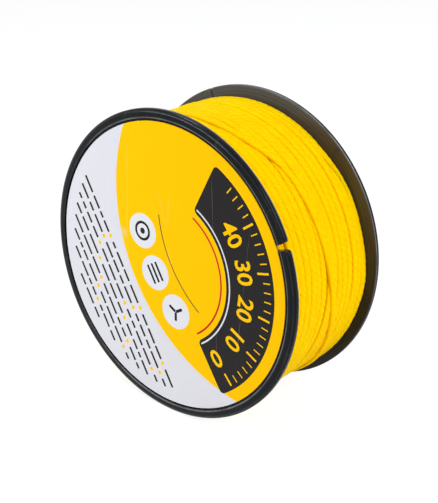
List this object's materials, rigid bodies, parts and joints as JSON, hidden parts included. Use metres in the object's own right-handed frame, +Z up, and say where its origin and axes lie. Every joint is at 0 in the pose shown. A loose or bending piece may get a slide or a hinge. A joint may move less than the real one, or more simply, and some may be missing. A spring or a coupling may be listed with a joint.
{
  "type": "builder's line spool",
  "caption": "Flanged spool wound with twisted yellow line: a notched rim on each flange, a round printed label on the front and a central bore open at the back.",
  "frame": {"origin": "middle of the spool: on the bore's axis, halfway between the outer faces of the two rims", "axes": "+Y along the bore's axis from the labelled front flange to the open rear flange, +Z up as the spool stands on both rims like a wheel, +X to the right seen from the front"},
  "size_m": [0.08, 0.0348, 0.08],
  "materials": {
    "flange_plastic": "black injection-moulded plastic, satin to glossy, lightly scuffed",
    "drum_plastic": "black moulded plastic, matt",
    "label_paper": "printed coated paper, satin",
    "line_fibre": "twisted synthetic fibre, bright yellow"
  },
  "bodies": {
    "root": {"front_flange": "flange_plastic", "rear_flange": "flange_plastic", "drum": "drum_plastic", "front_label": "label_paper", "line_core": "line_fibre", "line_outer_turns": "line_fibre"}
  },
  "joints": []
}
